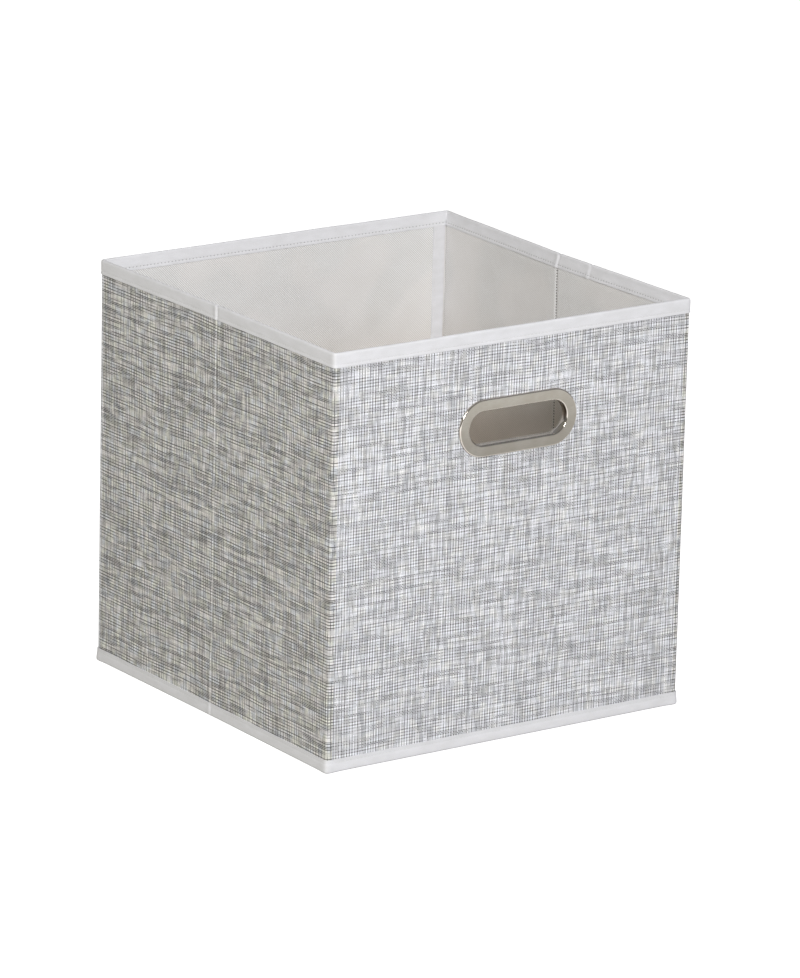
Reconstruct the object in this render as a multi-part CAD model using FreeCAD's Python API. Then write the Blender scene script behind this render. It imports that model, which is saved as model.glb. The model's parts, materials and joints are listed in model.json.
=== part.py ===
import FreeCAD, Part
import os

# A fabric storage bin that folds flat. Four board-stiffened walls are covered with woven
# fabric outside and lining inside, and their edges are bound with tape. The two side walls
# are each two halves, creased down the middle, so that they fold inwards and let the back
# wall come up to the front wall. A covered board lies loose on the fabric base, and an
# obround metal grommet in the front wall is the handle.
#
# Frame: millimetres, +Z up, origin at the centre of the resting face. The front wall, with
# the handle, faces -Y, and the left wall faces -X.

Vector = FreeCAD.Vector

# Driving dimensions
WIDTH = 301.0            # X, over the outer fabric
DEPTH = 297.0            # Y, over the outer fabric
HEIGHT = 300.0           # Z, from the floor to the rim
FABRIC = 0.8             # thickness of the outer fabric
BOARD = 2.0              # thickness of a stiffening board
LINING = 0.5             # thickness of the lining
BINDING = 0.8            # thickness of the binding tape
TOP_BINDING = 11.0       # height of the tape along the rim
BOTTOM_BINDING = 9.6     # height of the tape along the floor
CORNER_RADIUS = 2.5      # outer fabric where it turns an upright corner
PIVOT_OFFSET = 1.2       # each fold's axis stands this far off the wall's face
FOLD_GAP = 0.5           # between bodies that meet at a fold
BOARD_SETBACK = 3.0      # a board stops this far short of a corner or crease
BOARD_TOP_GAP = 1.0      # and this far below the rim binding

# Handle grommet
HANDLE_X = 3.5           # its centre, slightly right of the wall's middle
HANDLE_Z = 229.6
HANDLE_STRAIGHT = 58.2   # between the centres of its two round ends
OPENING_RADIUS = 12.15   # of the finger opening
COLLAR = 0.85            # wall of the tube that lines the opening
FLANGE_RADIUS = 20.7
FLANGE_THICK = 1.6
LIP_RADIUS = 1.2         # where the flange rolls into the opening
EDGE_RADIUS = 1.0        # around the flange's rim
BACK_RING_RADIUS = 19.2
BACK_RING_THICK = 1.2
BACK_RING_EDGE = 0.6
COLLAR_PAST_RING = 0.4
PUNCH_CLEARANCE = 0.3    # all round the collar, in the wall and in the back ring

# Corner seam tape inside the back right corner
SEAM_TAPE_WIDTH = 11.5
SEAM_TAPE = 0.5

# Fabric base and loose insert
BASE_FABRIC = 0.8
INSERT_LIFT = 0.3        # air under the insert
INSERT_CLEARANCE = 2.2   # between the insert and the lining, all round
INSERT_BOARD = 2.5
INSERT_RADIUS = 4.0

# Worked out
WALL = FABRIC + BOARD + LINING
HALF_W = WIDTH / 2
HALF_D = DEPTH / 2
WALL_FOOT = BOTTOM_BINDING
BOARD_TOP = HEIGHT - TOP_BINDING - BOARD_TOP_GAP
SIDE_START = -HALF_D + WALL + BINDING + FOLD_GAP
SIDE_END = -FOLD_GAP / 2
RING_HOLE_RADIUS = OPENING_RADIUS + COLLAR + PUNCH_CLEARANCE


def block(x, y, z):
    """A box from three (low, high) pairs."""
    size = [high - low for low, high in (x, y, z)]
    return Part.makeBox(*size, Vector(x[0], y[0], z[0]))


def round_uprights(solid, radius, keep):
    """Rounds the vertical edges whose (x, y) satisfies keep."""
    chosen = []
    for edge in solid.Edges:
        low, high = edge.Vertexes[0].Point, edge.Vertexes[-1].Point
        upright = abs(low.x - high.x) < 1e-6 and abs(low.y - high.y) < 1e-6
        if upright and keep(low.x, low.y):
            chosen.append(edge)
    return solid.makeFillet(radius, chosen)


def outer_corners_rounded(solid, radius):
    """Rounds the two uprights on the outside of the front wall."""
    front = solid.BoundBox.YMin
    return round_uprights(solid, radius, lambda x, y: abs(y - front) < 1e-6)


def front_wall():
    """The layers of a full-width wall, in the front wall's place and with no handle."""
    outside = -HALF_D
    inside = -HALF_D + WALL
    height = (WALL_FOOT, HEIGHT - BINDING)
    board_height = (WALL_FOOT, BOARD_TOP)
    board_half = HALF_W - FABRIC - BOARD_SETBACK

    # The outer fabric turns round both ends of the wall.
    whole = outer_corners_rounded(block((-HALF_W, HALF_W), (outside, inside), height), CORNER_RADIUS)
    core_half = HALF_W - FABRIC
    core = block((-core_half, core_half), (outside + FABRIC, inside), height)
    fabric = whole.cut(outer_corners_rounded(core, CORNER_RADIUS - FABRIC))

    board = block((-board_half, board_half), (outside + FABRIC, inside - LINING), board_height)
    lining = block((-core_half, core_half), (inside - LINING, inside), height)

    # The rim tape folds over the wall and caps both of its ends.
    tape_x = (-HALF_W - BINDING, HALF_W + BINDING)
    tape_y = (outside - BINDING, inside + BINDING)
    tape = block(tape_x, tape_y, (HEIGHT - TOP_BINDING, HEIGHT))
    tape = outer_corners_rounded(tape, CORNER_RADIUS + BINDING)
    top_binding = tape.cut(whole)

    # The hem on the floor is tape around the turned-in edges, with no board in it.
    hem = block(tape_x, tape_y, (0, BOTTOM_BINDING))
    bottom_binding = outer_corners_rounded(hem, CORNER_RADIUS + BINDING)
    return {
        "outer_fabric": fabric,
        "board": board,
        "lining": lining,
        "top_binding": top_binding,
        "bottom_binding": bottom_binding,
    }


def left_front_half():
    """The layers of half a side wall, in the left wall's front half."""
    outside = -HALF_W
    inside = -HALF_W + WALL
    length = (SIDE_START, SIDE_END)
    board_length = (SIDE_START + BOARD_SETBACK, SIDE_END - BOARD_SETBACK)
    height = (WALL_FOOT, HEIGHT - BINDING)
    tape_x = (outside - BINDING, inside + BINDING)
    tape = block(tape_x, length, (HEIGHT - TOP_BINDING, HEIGHT))
    pocket = block((outside, inside), length, (0, HEIGHT - BINDING))
    return {
        "outer_fabric": block((outside, outside + FABRIC), length, height),
        "board": block((outside + FABRIC, inside - LINING), board_length, (WALL_FOOT, BOARD_TOP)),
        "lining": block((inside - LINING, inside), length, height),
        "top_binding": tape.cut(pocket),
        "bottom_binding": block(tape_x, length, (0, BOTTOM_BINDING)),
    }


def mirrored(solid, flip_x, flip_y):
    """A copy on the other side of the bin."""
    centre = Vector(0, 0, 0)
    if flip_x:
        solid = solid.mirror(centre, Vector(1, 0, 0))
    if flip_y:
        solid = solid.mirror(centre, Vector(0, 1, 0))
    return solid


def quarter(start, end, centre):
    """A quarter circle in an upright plane of constant x."""
    bulge = (start + end) * 0.5 - centre
    middle = centre + bulge * ((start - centre).Length / bulge.Length)
    return Part.Arc(start, middle, end).toShape()


def ring_point(radius, y):
    """A point of a grommet section, at the left end of its upper straight run."""
    return Vector(HANDLE_X - HANDLE_STRAIGHT / 2, y, HANDLE_Z + radius)


def obround_ring(edges):
    """Carries a closed section along the grommet's obround: two straight runs and two half turns."""
    section = Part.Face(Part.Wire(edges))
    straight = section.extrude(Vector(HANDLE_STRAIGHT, 0, 0))
    section.translate(Vector(HANDLE_STRAIGHT, 0, 0))
    right_centre = Vector(HANDLE_X + HANDLE_STRAIGHT / 2, 0, HANDLE_Z)
    turn = section.revolve(right_centre, Vector(0, 1, 0), 180)
    upper = straight.fuse(turn)
    lower = upper.copy()
    lower.rotate(Vector(HANDLE_X, 0, HANDLE_Z), Vector(0, 1, 0), 180)
    return upper.fuse(lower).removeSplitter()


def line(a, b):
    return Part.LineSegment(a, b).toShape()


def outline(*stations):
    """Closed section edges from ring_point stations. A station after "round" ends an arc about its centre."""
    edges = []
    last = stations[0]
    for station in stations[1:] + (stations[0],):
        if isinstance(station, tuple):
            station, centre = station
            edges.append(quarter(last, station, centre))
        else:
            edges.append(line(last, station))
        last = station
    return edges


def handle_bezel():
    """The grommet's front: a flange on the fabric and a tube through the wall."""
    face = -HALF_D - FLANGE_THICK
    tube_end = -HALF_D + WALL + BACK_RING_THICK + COLLAR_PAST_RING
    lip = OPENING_RADIUS + LIP_RADIUS
    rim = FLANGE_RADIUS - EDGE_RADIUS
    tube = OPENING_RADIUS + COLLAR
    return obround_ring(outline(
        ring_point(OPENING_RADIUS, tube_end),
        ring_point(OPENING_RADIUS, face + LIP_RADIUS),
        (ring_point(lip, face), ring_point(lip, face + LIP_RADIUS)),
        ring_point(rim, face),
        (ring_point(FLANGE_RADIUS, face + EDGE_RADIUS), ring_point(rim, face + EDGE_RADIUS)),
        ring_point(FLANGE_RADIUS, -HALF_D),
        ring_point(tube, -HALF_D),
        ring_point(tube, tube_end),
    ))


def handle_back_ring():
    """The washer that clamps the grommet against the lining."""
    seat = -HALF_D + WALL
    face = seat + BACK_RING_THICK
    rim = BACK_RING_RADIUS - BACK_RING_EDGE
    edge_y = face - BACK_RING_EDGE
    return obround_ring(outline(
        ring_point(RING_HOLE_RADIUS, seat),
        ring_point(RING_HOLE_RADIUS, face),
        ring_point(rim, face),
        (ring_point(BACK_RING_RADIUS, edge_y), ring_point(rim, edge_y)),
        ring_point(BACK_RING_RADIUS, seat),
    ))


def handle_punch():
    """The obround hole through the wall's layers."""
    through = (-HALF_D - WALL, -HALF_D + 2 * WALL)
    half = HANDLE_STRAIGHT / 2
    hole = block((HANDLE_X - half, HANDLE_X + half), through,
                 (HANDLE_Z - RING_HOLE_RADIUS, HANDLE_Z + RING_HOLE_RADIUS))
    for end in (-half, half):
        centre = Vector(HANDLE_X + end, through[0], HANDLE_Z)
        hole = hole.fuse(Part.makeCylinder(RING_HOLE_RADIUS, 3 * WALL, centre, Vector(0, 1, 0)))
    return hole.removeSplitter()


def corner_seam_tape():
    """Tape over the raw edge of the one corner where the cover's ends are sewn together."""
    corner = HALF_W - WALL
    lining = HALF_D - WALL
    return block((corner - SEAM_TAPE_WIDTH, corner), (lining - SEAM_TAPE, lining),
                 (BOTTOM_BINDING, HEIGHT - TOP_BINDING))


def base_panel():
    """The sewn fabric base, inside the hem."""
    margin = WALL + BINDING + FOLD_GAP
    return block((-HALF_W + margin, HALF_W - margin), (-HALF_D + margin, HALF_D - margin), (0, BASE_FABRIC))


def insert_parts():
    """The loose stiff base: a board with fabric over its top and edges and lining under it."""
    half_x = HALF_W - WALL - INSERT_CLEARANCE
    half_y = HALF_D - WALL - INSERT_CLEARANCE
    under = BASE_FABRIC + INSERT_LIFT
    board_low = under + LINING
    board_high = board_low + INSERT_BOARD
    top = board_high + FABRIC

    def plate(inset, low, high):
        flat = block((-half_x + inset, half_x - inset), (-half_y + inset, half_y - inset), (low, high))
        return round_uprights(flat, INSERT_RADIUS - inset, lambda x, y: True)

    return {
        "insert_board": plate(FABRIC, board_low, board_high),
        "insert_cover_top": plate(0, board_low, top).cut(plate(FABRIC, board_low, board_high)),
        "insert_cover_bottom": plate(0, under, board_low),
    }


def all_nodes():
    nodes = {}
    full_walls = front_wall()
    punch = handle_punch()
    for layer, solid in full_walls.items():
        punched = layer in ("outer_fabric", "board", "lining")
        nodes["front_" + layer] = solid.cut(punch) if punched else solid
        nodes["back_" + layer] = mirrored(solid, False, True)
    for layer, solid in left_front_half().items():
        for side, flip_x in (("left", False), ("right", True)):
            for end, flip_y in (("front", False), ("back", True)):
                nodes[side + "_" + end + "_" + layer] = mirrored(solid, flip_x, flip_y)
    nodes["handle_bezel"] = handle_bezel()
    nodes["handle_back_ring"] = handle_back_ring()
    nodes["back_corner_seam_tape"] = corner_seam_tape()
    nodes["base_panel"] = base_panel()
    nodes.update(insert_parts())
    return nodes


def main():
    os.makedirs("parts", exist_ok=True)
    for name, shape in all_nodes().items():
        if not shape.isValid():
            raise RuntimeError(name + " isn't a valid solid")
        shape.exportStep("parts/" + name + ".step")
        box = shape.BoundBox
        print(name, len(shape.Solids), round(shape.Volume), "mm3",
              [round(v, 2) for v in (box.XMin, box.XMax, box.YMin, box.YMax, box.ZMin, box.ZMax)])


main()
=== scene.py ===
import json
import math
import bpy
import bmesh
from mathutils import Matrix, Vector, noise


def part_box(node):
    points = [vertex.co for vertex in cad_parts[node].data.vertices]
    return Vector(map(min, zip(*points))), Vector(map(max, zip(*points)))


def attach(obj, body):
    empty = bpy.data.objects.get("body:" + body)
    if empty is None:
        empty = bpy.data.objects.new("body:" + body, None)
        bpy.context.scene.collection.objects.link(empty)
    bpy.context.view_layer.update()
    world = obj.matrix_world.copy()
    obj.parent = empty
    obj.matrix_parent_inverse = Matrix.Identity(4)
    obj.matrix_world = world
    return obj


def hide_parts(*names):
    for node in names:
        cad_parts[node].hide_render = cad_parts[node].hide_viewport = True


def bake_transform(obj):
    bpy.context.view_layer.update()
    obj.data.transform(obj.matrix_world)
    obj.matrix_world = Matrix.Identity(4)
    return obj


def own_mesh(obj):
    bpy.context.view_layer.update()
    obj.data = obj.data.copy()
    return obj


# The looks of a fabric storage bin, in metres, in the row frame: +Z up, handle facing -Y.
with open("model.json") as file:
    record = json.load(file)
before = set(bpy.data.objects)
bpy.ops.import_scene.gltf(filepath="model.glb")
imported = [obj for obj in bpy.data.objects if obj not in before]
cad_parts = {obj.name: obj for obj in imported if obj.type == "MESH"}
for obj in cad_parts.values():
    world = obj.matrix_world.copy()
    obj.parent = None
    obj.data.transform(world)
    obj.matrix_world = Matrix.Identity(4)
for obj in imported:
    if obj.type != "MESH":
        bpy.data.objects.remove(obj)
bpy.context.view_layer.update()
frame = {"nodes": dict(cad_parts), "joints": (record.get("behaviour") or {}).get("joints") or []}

MM = 0.001

# ---- sizes from the frame
fabric_low, fabric_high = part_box("front_outer_fabric")
rim_low, rim_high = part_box("front_top_binding")
side_fabric_low, side_fabric_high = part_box("left_front_outer_fabric")
side_lining_low, side_lining_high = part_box("left_front_lining")
bezel_low, bezel_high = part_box("handle_bezel")
ring_low, ring_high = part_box("handle_back_ring")
fold_axis = next(Vector(j["pos_m"]) for j in frame["joints"] if j["name"] == "left_front_corner")

HALF_W = fabric_high.x
HALF_D = -fabric_low.y
RIM = rim_high.z
RIM_TAPE_LOW = rim_low.z
HEM_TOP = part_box("front_bottom_binding")[1].z
TAPE = rim_high.x - HALF_W
FABRIC = side_fabric_high.x - side_fabric_low.x
LINING = side_lining_high.x - side_lining_low.x
WALL = side_lining_high.x + HALF_W
PIVOT_X = abs(fold_axis.x)
PIVOT_Y = abs(fold_axis.y)
CORNER_R = HALF_W - PIVOT_X        # the cloth turns each corner about the fold's own axis
BACK_END = -side_fabric_low.y      # where the side walls stop at the open back right corner
HANDLE_X = (bezel_low.x + bezel_high.x) / 2
HANDLE_Z = (bezel_low.z + bezel_high.z) / 2
FLANGE_R = (bezel_high.z - bezel_low.z) / 2
HANDLE_STRAIGHT = bezel_high.x - bezel_low.x - 2 * FLANGE_R

# ---- details of the cloth
CREASE_HALF = 3.2 * MM       # half the strip of cloth between the boards at a side wall's centre crease
CREASE_BEND = 0.30 * MM      # half the band that turns there: no column lies well inside it
CREASE_STEPS = 15            # an odd count, so that the middle step spans the band
CLOTH_LOW = 8.0 * MM         # the walls' cloth starts behind the hem tape
CLOTH_HIGH = 298.4 * MM      # and ends inside the rim tape
FOLD_Y = {-1: -1.0 * MM, 1: 1.2 * MM}          # the visible fold line of the left and right wall
PUSH_RIM = {-1: 1.5 * MM, 1: 3.6 * MM}         # how far each side wall has sunk in at its crease
PUSH_FLOOR = {-1: 0.9 * MM, 1: 1.0 * MM}
SECOND_CREASE_Y = -36 * MM   # a second, faint crease in the right wall's rim tape
STITCH_UP = 2.3 * MM         # a seam runs this far from a tape's edge
STITCH_PITCH = 3.0 * MM
CREASE_PITCH = 2.1 * MM      # stitches down the centre crease
SUNK_SEAM = 0.12 * MM        # how deep a stitch's middle lies in the cloth's face
TAPE_ROLL = 1.3 * MM         # how round the tape turns over the rim
RIM_SAG = 0.6 * MM           # the tape's top lies this far under the rim's full height
PINCH = 1.9 * MM             # how much thinner the wall is at the rim, above its board
HEM_ROLL = 1.5 * MM
SEAM_TAPE_CUT = 1.4 * MM     # the corner's seam tape stays this far clear of the folding lining

# ---- details of the handle
OPENING_R = 12.15 * MM
COLLAR = 0.85 * MM           # wall of the tube that lines the opening
PUNCH_R = OPENING_R + COLLAR + 0.3 * MM
LIP_R = 1.2 * MM             # the roll from the flange's face into the opening
FLANGE_EDGE = 1.15 * MM      # the roll round the flange's outer edge
WASHER_EDGE = 0.55 * MM

CORNER_STEPS = (0, 10, 20, 29, 36, 40, 42.5, 45, 47.5, 50, 54, 61, 70, 80, 90)
CORNER_SQUARENESS = 4.4      # 2 is a quarter circle, and more is squarer


# ---- the path round the bin
def spread(start, end, step, fine=()):
    """Values from start to end about a step apart, and closer together near each (place, step) of fine."""
    values = [start]
    way = 1 if end > start else -1
    while abs(end - values[-1]) > 1.6 * step:
        closer = [fine_step + 0.4 * abs(values[-1] - place) for place, fine_step in fine]
        values.append(values[-1] + way * min([step] + closer))
    last = values[-1]
    last_step = fine[-1][1] * 3 if fine else step
    count = min(max(1, round(abs(end - last) / last_step)), 6)
    return values + [last + (end - last) * (i + 1) / count for i in range(count)]


def side_run(side, start, end, step, fine):
    return [(side * HALF_W, y, side, 0.0) for y in spread(start, end, step, fine)]


def end_run(side, start, end, step):
    fine = ((start, 1.2 * MM), (end, 1.2 * MM))
    return [(x, side * HALF_D, 0.0, side) for x in spread(start, end, step, fine)]


def crease_run(side, way):
    """The strip of cloth between the boards at a centre crease. way is the direction along Y."""
    ys = [way * CREASE_HALF * (2 * i / CREASE_STEPS - 1) for i in range(CREASE_STEPS + 1)]
    return [(side * HALF_W, y, side, 0.0) for y in ys]


def corner_run(side_x, side_y, from_side):
    """Round a corner about the fold's axis, from the side wall to the end wall, or back."""
    steps = [math.radians(a) for a in CORNER_STEPS]
    if not from_side:
        steps = [math.pi / 2 - a for a in steps]
    power = CORNER_SQUARENESS
    run = []
    for a in steps:
        nx, ny = side_x * math.cos(a), side_y * math.sin(a)
        r = CORNER_R * (abs(nx) ** power + abs(ny) ** power) ** (-1 / power)
        run.append((side_x * PIVOT_X + r * nx, side_y * PIVOT_Y + r * ny, nx, ny))
    return run


def stations(step):
    """Each part's columns as (x, y, outward x, outward y, distance along the outer fabric)."""
    crease = ((-CREASE_HALF, 0.6 * MM), (CREASE_HALF, 0.6 * MM))
    far = ((PIVOT_Y, 1.2 * MM),)
    near = ((-PIVOT_Y, 1.2 * MM),)
    second = ((SECOND_CREASE_Y, 0.6 * MM),)
    runs = {
        "right_back": side_run(1, BACK_END, CREASE_HALF, step, far + crease)
        + crease_run(1, -1)[1:],
        "right_front": side_run(1, -CREASE_HALF, -PIVOT_Y, step, crease + second + near)
        + corner_run(1, -1, True)[1:],
        "front": end_run(-1, PIVOT_X, -PIVOT_X, step),
        "left_front": corner_run(-1, -1, False)
        + side_run(-1, -PIVOT_Y, -CREASE_HALF, step, near + crease)[1:],
        "left_back": crease_run(-1, 1)
        + side_run(-1, CREASE_HALF, PIVOT_Y, step, crease + far)[1:],
        "back": corner_run(-1, 1, True) + end_run(1, -PIVOT_X, PIVOT_X, step)[1:]
        + corner_run(1, 1, False)[1:],
    }
    made, s, last = {}, 0.0, None
    for part, run in runs.items():
        made[part] = []
        for x, y, nx, ny in run:
            if last is not None:
                s += math.hypot(x - last[0], y - last[1])
            last = (x, y)
            made[part].append((x, y, nx, ny, s))
    return made


def station_at(columns, s):
    """The column at distance s, between the ones in the list."""
    for a, b in zip(columns, columns[1:]):
        if s <= b[4]:
            t = (s - a[4]) / max(b[4] - a[4], 1e-9)
            return tuple(p + (q - p) * t for p, q in zip(a, b))
    return columns[-1]


def run_length(columns):
    return abs(columns[-1][4] - columns[0][4])


def on_side(column):
    """-1 or 1 where the column is on the flat of the left or right wall, and 0 elsewhere."""
    nx = column[2]
    return round(nx) if abs(nx) > 0.999 else 0


def sunk(side, y, z):
    """How far a side wall leans in at height z, most at its crease, where rounding blunts the bend."""
    rounding = 0.0006
    share = max(0.0, 1 - math.sqrt((y / PIVOT_Y) ** 2 + rounding))
    height = (max(z, 0.0) / RIM) ** 1.3
    return share * (PUSH_FLOOR[side] + (PUSH_RIM[side] - PUSH_FLOOR[side]) * height)


def place(column, offset, z):
    """The point offset outward from the outer fabric's face."""
    x, y, nx, ny = column[:4]
    side = on_side(column)
    if side and abs(y) < PIVOT_Y:
        return Vector((x + nx * offset - side * sunk(side, y, z), y, z))
    return Vector((x + nx * offset, y + ny * offset, z))


def pinched(z):
    """How far the inner layers close up on the outer fabric at height z, above the board."""
    t = min(max((z - RIM_TAPE_LOW) / (RIM - TAPE_ROLL - RIM_TAPE_LOW), 0.0), 1.0)
    return PINCH * t * t * (3 - 2 * t)


def hills(x, y, size, seed):
    """Smooth noise from about -1 to 1, with hills of that size."""
    return noise.noise(Vector((x / size, y / size, seed)))


def hump(distance, width):
    """1 at no distance, falling off smoothly on both sides over about that width."""
    return math.exp(-(distance / width) ** 2)


# ---- meshes
def new_object(name, vertices, faces, uvs=None, sharp=40):
    mesh = bpy.data.meshes.new(name)
    mesh.from_pydata([tuple(v) for v in vertices], [], faces)
    if uvs:
        layer = mesh.uv_layers.new(name="weave")
        for loop in mesh.loops:
            layer.data[loop.index].uv = uvs[loop.vertex_index]
    work = bmesh.new()
    work.from_mesh(mesh)
    bmesh.ops.recalc_face_normals(work, faces=work.faces)
    work.to_mesh(mesh)
    work.free()
    mesh.polygons.foreach_set("use_smooth", [True] * len(mesh.polygons))
    mesh.set_sharp_from_angle(angle=math.radians(sharp))
    obj = bpy.data.objects.new(name, mesh)
    bpy.context.scene.collection.objects.link(obj)
    return obj


def closed_sheet(name, outer, inner, uvs, sharp=40):
    """A closed thin mesh from two grids of points, the two faces of a cloth."""
    rows, columns = len(outer), len(outer[0])
    vertices = [p for row in outer for p in row] + [p for row in inner for p in row]
    flat_uvs = [uv for row in uvs for uv in row] * 2
    back = rows * columns
    faces = []
    for i in range(rows - 1):
        for j in range(columns - 1):
            a, b = i * columns + j, (i + 1) * columns + j
            faces.append((a, b, b + 1, a + 1))
            faces.append((back + a, back + a + 1, back + b + 1, back + b))
    rim = [(i * columns + j, (i + 1) * columns + j) for i in range(rows - 1) for j in (0, columns - 1)]
    rim += [(i * columns + j, i * columns + j + 1) for j in range(columns - 1) for i in (0, rows - 1)]
    faces += [(a, b, back + b, back + a) for a, b in rim]
    return new_object(name, vertices, faces, flat_uvs, sharp)


def applied(obj):
    """Bakes obj's modifiers into its mesh."""
    bpy.context.view_layer.update()
    mesh = bpy.data.meshes.new_from_object(obj.evaluated_get(bpy.context.evaluated_depsgraph_get()))
    obj.modifiers.clear()
    old, obj.data = obj.data, mesh
    mesh.name = obj.name
    bpy.data.meshes.remove(old)


# ---- node materials
class Value:
    """An output of a node. It adds, subtracts, multiplies and divides like a number."""

    def __init__(self, nodes, socket):
        self.nodes = nodes
        self.socket = socket

    def __add__(self, other):
        return self.nodes.math("ADD", self, other)

    def __sub__(self, other):
        return self.nodes.math("SUBTRACT", self, other)

    def __rsub__(self, other):
        return self.nodes.math("SUBTRACT", other, self)

    def __mul__(self, other):
        return self.nodes.math("MULTIPLY", self, other)

    def __truediv__(self, number):
        return self * (1 / number)


class Nodes:
    """Writes the node tree of a material or of the world. An input is a Value, a number or a colour."""

    def __init__(self, owner, output="ShaderNodeOutputMaterial"):
        owner.use_nodes = True
        self.owner = owner
        self.tree = owner.node_tree
        self.tree.nodes.clear()
        self.out = self.tree.nodes.new(output)

    def node(self, kind, inputs, output=0, **settings):
        node = self.tree.nodes.new(kind)
        for key, value in settings.items():
            setattr(node, key, value)
        for key, value in inputs.items():
            socket = node.inputs[key]
            if isinstance(value, Value):
                self.tree.links.new(value.socket, socket)
            elif isinstance(value, tuple) and len(value) == 3 and socket.type == "RGBA":
                socket.default_value = (*value, 1)
            else:
                socket.default_value = value
        return Value(self, node.outputs[output])

    def math(self, operation, *values):
        return self.node("ShaderNodeMath", dict(enumerate(values)), operation=operation)

    def sine(self, value, pitch):
        return self.math("SINE", value * (2 * math.pi / pitch))

    def bell(self, value, sharpness=1.0):
        """1 where value is 0, falling off smoothly on both sides."""
        return self.math("EXPONENT", value * value * -sharpness)

    def distance(self, a, b):
        return self.math("SQRT", a * a + b * b)

    def odd(self, whole):
        """1 where a whole number is odd, and 0 where it is even."""
        return self.math("FRACT", whole * 0.5) * 2.0

    def ramp(self, value, low, high, to_low=0.0, to_high=1.0):
        """A smooth step from to_low to to_high as value goes from low to high."""
        inputs = {0: value, 1: low, 2: high, 3: to_low, 4: to_high}
        return self.node("ShaderNodeMapRange", inputs, interpolation_type="SMOOTHSTEP")

    def mix(self, factor, a, b):
        return self.node("ShaderNodeMix", {0: factor, 2: a, 3: b}, data_type="FLOAT")

    def blend(self, factor, a, b, kind="MIX"):
        return self.node("ShaderNodeMix", {0: factor, 6: a, 7: b}, 2, data_type="RGBA", blend_type=kind)

    def vector(self, x, y, z=0.0):
        return self.node("ShaderNodeCombineXYZ", {0: x, 1: y, 2: z})

    def split(self, vector):
        node = self.node("ShaderNodeSeparateXYZ", {0: vector}).socket.node
        return [Value(self, socket) for socket in node.outputs]

    def noise(self, vector, scale=1.0, detail=0.0, roughness=0.5):
        inputs = {"Vector": vector, "Scale": scale, "Detail": detail, "Roughness": roughness}
        return self.node("ShaderNodeTexNoise", inputs, noise_dimensions="3D")

    def patches(self, place, across, up, seed=0.0, **settings):
        """Noise over a flat place, with so many patches for each unit across and up."""
        return self.noise(self.vector(place[0] * across, place[1] * up, seed), **settings)

    def cloth_place(self):
        """(across, up) in metres along the cloth, from the sheet's own UV layer."""
        return self.split(self.node("ShaderNodeUVMap", {}, uv_map="weave"))[:2]

    def object_place(self):
        return self.node("ShaderNodeTexCoord", {}, "Object")

    def grey(self, value):
        return self.node("ShaderNodeCombineColor", {0: value, 1: value, 2: value})

    def bump(self, height, distance, strength):
        return self.node("ShaderNodeBump", {"Height": height, "Distance": distance, "Strength": strength})

    def finish(self, value):
        self.tree.links.new(value.socket, self.out.inputs[0])
        return self.owner

    def shader(self, color, **inputs):
        given = {key.replace("_", " "): value for key, value in inputs.items()}
        return self.finish(self.node("ShaderNodeBsdfPrincipled", {"Base Color": color, **given}))


def new_material(name):
    return Nodes(bpy.data.materials.new(name))


def scaled(color, *shares):
    return tuple(c * share for c, share in zip(color, shares))


THREAD_PITCH = 1.1 * MM
THREAD_WANDER = (1.5, 2.4)   # most that an upright and a level thread stray from a straight line, in pitches
THREAD_WIDE = (0.26, 0.48)   # distances from a thread's middle, in pitches, over which a pale one fades out
THREAD_THIN = (0.17, 0.37)   # and a dark one
THREAD_TONE = (0.67, 0.78)   # of a thread's plain body
DARK_FROM_TO = (0.39, 0.63)  # values of noise over which a stretch of thread turns dark
PALE_FROM_TO = (0.40, 0.61)
OWN_SHARE = 0.2              # how much a thread keeps one shade along its whole length
ALTERNATION = 0.065          # every other thread leans dark, and the ones between lean white
WARP_FLECKS = 0.06           # dark stretches for each thread crossed
WEFT_FLECKS = 0.045
# The strengths are a level (weft) thread's where it shows and where it is crossed, then an upright
# (warp) thread's.
END_DARK = (1.0, 0.4, 0.7, 0.6)
END_PALE = (1.0, 0.1, 0.8, 0.5)
END_TINTS = ((0.965, 0.98, 1.03), (1.0, 0.995, 1.0), (0.98, 0.98, 1.04))
# Painted shade: the side walls' weave is a darker, warmer copy of the end walls' cloth, with stronger dark
# flecks, for the dimmer raking light on the sides.
SHADED_SIDE_DARK = (1.0, 0.88, 0.88, 0.65)
SHADED_SIDE_PALE = (1.0, 0.5, 0.8, 0.8)
SHADED_SIDE_TINTS = ((0.90, 0.90, 0.83), (0.86, 0.88, 0.92), (0.92, 0.875, 0.86))


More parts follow.
